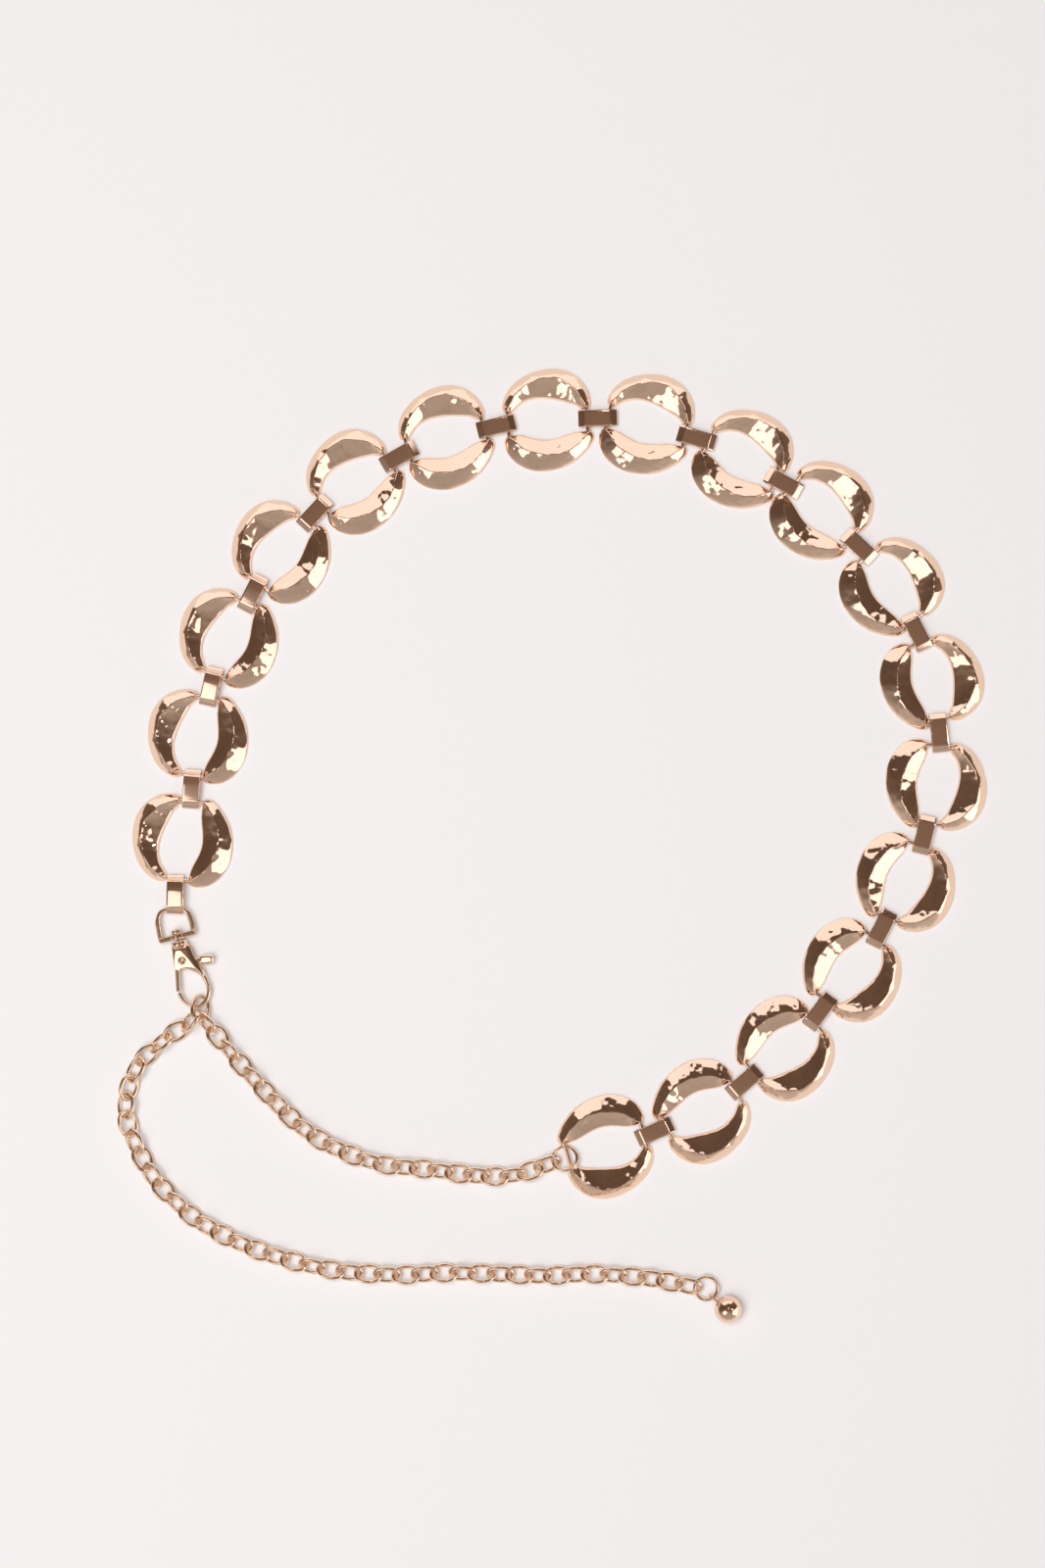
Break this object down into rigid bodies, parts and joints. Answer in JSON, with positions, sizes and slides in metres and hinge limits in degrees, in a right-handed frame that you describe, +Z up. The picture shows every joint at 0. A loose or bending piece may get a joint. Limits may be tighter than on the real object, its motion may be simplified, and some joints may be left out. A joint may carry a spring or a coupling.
{
  "type": "waist chain",
  "caption": "Waist chain of hammered open discs joined by folded straps, closed by a swivel snap hook on a chain of oval links that ends in a ball.",
  "frame": {"origin": "centre of the lying belt's box, on the floor plane that its back touches", "axes": "+Z up from the floor to the hammered face; +Y across the loop away from the chain's tail; +X from the hook's side to the far side"},
  "size_m": [0.3195, 0.3505, 0.0101],
  "materials": {
    "rose_gold_disc": "polished plating over a hammered surface",
    "rose_gold_fitting": "polished plating"
  },
  "bodies": {
    "belt": {"disc_01": "rose_gold_disc", "disc_02": "rose_gold_disc", "disc_03": "rose_gold_disc", "disc_04": "rose_gold_disc", "disc_05": "rose_gold_disc", "disc_06": "rose_gold_disc", "disc_07": "rose_gold_disc", "disc_08": "rose_gold_disc", "disc_09": "rose_gold_disc", "disc_10": "rose_gold_disc", "disc_11": "rose_gold_disc", "disc_12": "rose_gold_disc", "disc_13": "rose_gold_disc", "disc_14": "rose_gold_disc", "disc_15": "rose_gold_disc", "disc_16": "rose_gold_disc", "disc_17": "rose_gold_disc", "disc_18": "rose_gold_disc", "strap_01": "rose_gold_fitting", "strap_02": "rose_gold_fitting", "strap_03": "rose_gold_fitting", "strap_04": "rose_gold_fitting", "strap_05": "rose_gold_fitting", "strap_06": "rose_gold_fitting", "strap_07": "rose_gold_fitting", "strap_08": "rose_gold_fitting", "strap_09": "rose_gold_fitting", "strap_10": "rose_gold_fitting", "strap_11": "rose_gold_fitting", "strap_12": "rose_gold_fitting", "strap_13": "rose_gold_fitting", "strap_14": "rose_gold_fitting", "strap_15": "rose_gold_fitting", "strap_16": "rose_gold_fitting", "strap_17": "rose_gold_fitting", "strap_18": "rose_gold_fitting", "clasp_bow": "rose_gold_fitting", "held_link": "rose_gold_fitting", "chain_closing": "rose_gold_fitting", "end_ring": "rose_gold_fitting", "chain_tail": "rose_gold_fitting", "tail_ring": "rose_gold_fitting", "tail_ball": "rose_gold_fitting"},
    "hook": {"clasp_hook": "rose_gold_fitting", "clasp_rivet": "rose_gold_fitting"},
    "lever": {"clasp_lever": "rose_gold_fitting"}
  },
  "joints": [
    {"name": "hook_swivel", "type": "hinge", "parent": "belt", "child": "hook", "pos_m": [-0.13506, -0.04206, 0.0032], "axis": [0.2588, -0.9659, 0], "range_deg": [0, 15]},
    {"name": "lever_hinge", "type": "hinge", "parent": "hook", "child": "lever", "pos_m": [-0.13548, -0.04217, 0.0032], "axis": [0, 0, 1], "range_deg": [0, 24], "stiffness_Nm_per_rad": 0.02, "springref_deg": -14.32}
  ]
}
